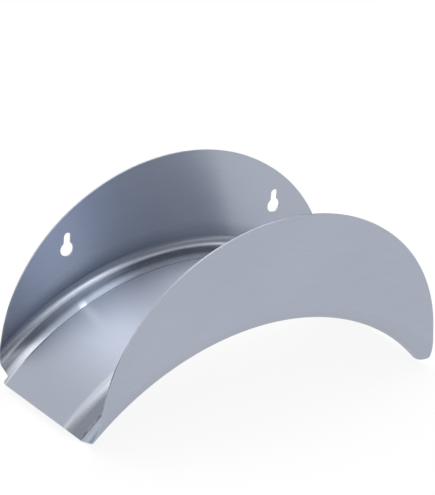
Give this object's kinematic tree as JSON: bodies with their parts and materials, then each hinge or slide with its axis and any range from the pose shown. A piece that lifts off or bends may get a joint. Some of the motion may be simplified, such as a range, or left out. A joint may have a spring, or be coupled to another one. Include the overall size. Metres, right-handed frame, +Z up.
{
  "type": "garden hose hanger",
  "caption": "Wall bracket of pressed sheet metal with an arched saddle between a back and a front plate, for hanging a coiled garden hose.",
  "frame": {"origin": "on the wall face, midway between the two round screw holes", "axes": "+X to the right as seen from the front, +Y into the wall, +Z up"},
  "size_m": [0.26, 0.122, 0.1294],
  "materials": {
    "steel": "satin"
  },
  "bodies": {
    "root": {"hanger": "steel"}
  },
  "joints": []
}
